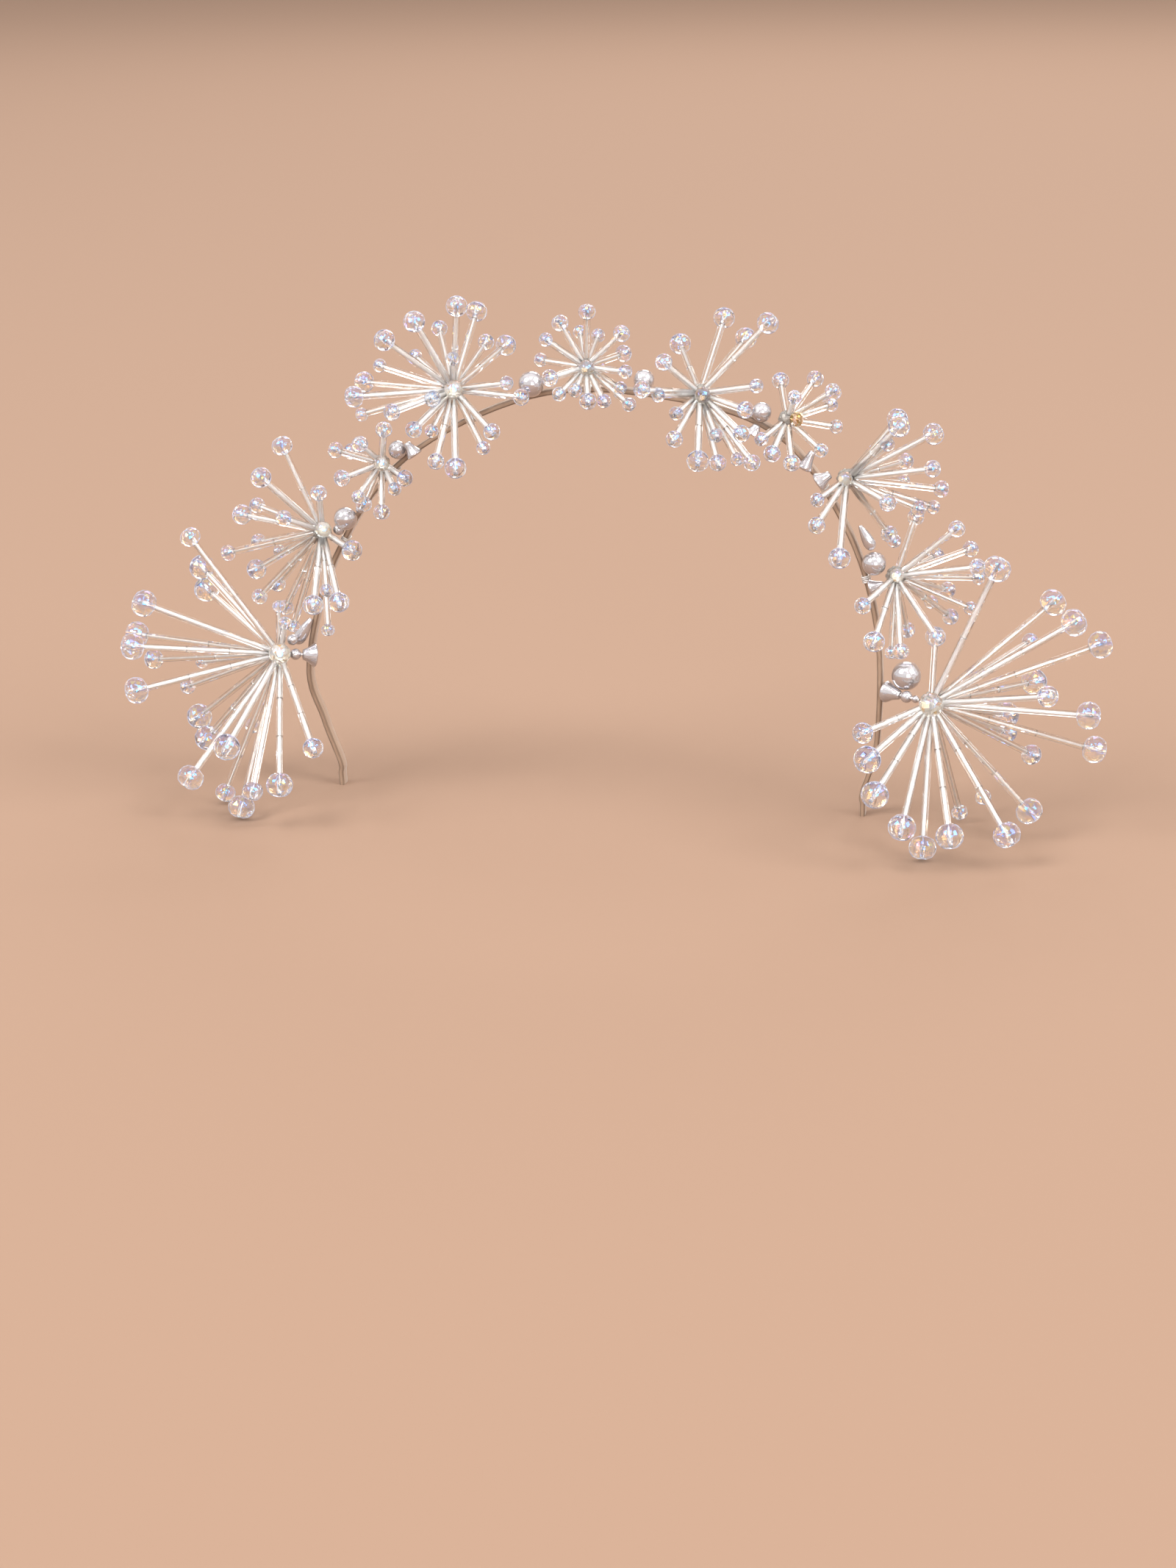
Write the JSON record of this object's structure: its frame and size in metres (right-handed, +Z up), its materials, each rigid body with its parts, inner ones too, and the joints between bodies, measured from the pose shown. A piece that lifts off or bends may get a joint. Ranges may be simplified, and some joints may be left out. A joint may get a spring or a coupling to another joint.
{
  "type": "tiara",
  "caption": "Slim arched headband set with starbursts of thin glass tubes tipped with faceted crystals, with round, drop and trumpet pearls between them.",
  "frame": {"origin": "middle of the bottom of the tiara's box, on the surface that it stands on", "axes": "+X across the tiara from its left end to its right end as seen from the front, +Y toward the back, +Z up"},
  "size_m": [0.2908, 0.0838, 0.1547],
  "materials": {
    "band_satin": "champagne satin ribbon over a thin steel strip",
    "clear_glass": "clear and silver-lined glass tubes with faceted crystals, fused on silver wire",
    "coated_crystal": "faceted crystal with a rainbow coating",
    "grey_pearl": "silver-grey pearl lustre"
  },
  "bodies": {
    "root": {"band": "band_satin", "burst_left_end": "clear_glass", "burst_left_low": "clear_glass", "burst_left_middle": "clear_glass", "burst_left_high": "clear_glass", "burst_top": "clear_glass", "burst_right_high": "clear_glass", "burst_right_middle": "clear_glass", "burst_right_low": "clear_glass", "burst_right_side": "clear_glass", "burst_right_end": "clear_glass", "stone_left_end": "coated_crystal", "stone_left_low": "coated_crystal", "stone_left_middle": "coated_crystal", "stone_left_high": "coated_crystal", "stone_top": "coated_crystal", "stone_right_high": "coated_crystal", "stone_right_middle": "coated_crystal", "stone_right_low": "coated_crystal", "stone_right_side": "coated_crystal", "stone_right_end": "coated_crystal", "pearl_left_low": "grey_pearl", "pearl_left_large": "grey_pearl", "pearl_left_small": "grey_pearl", "pearl_left_middle": "grey_pearl", "pearl_top_left": "grey_pearl", "pearl_top_right": "grey_pearl", "pearl_right_high": "grey_pearl", "pearl_right_side": "grey_pearl", "pearl_left_end_high": "grey_pearl", "pearl_right_end_large": "grey_pearl", "trumpet_left_middle": "grey_pearl", "trumpet_right_high": "grey_pearl", "trumpet_right_first": "grey_pearl", "trumpet_right_second": "grey_pearl", "trumpet_right_side": "grey_pearl", "drop_right_low": "grey_pearl", "drop_left_end": "grey_pearl", "string_trumpet_left_end": "grey_pearl", "string_pearl_left_end_1": "grey_pearl", "string_trumpet_right_end": "grey_pearl", "string_pearl_right_end_1": "grey_pearl", "string_pearl_right_end_2": "grey_pearl"}
  },
  "joints": []
}
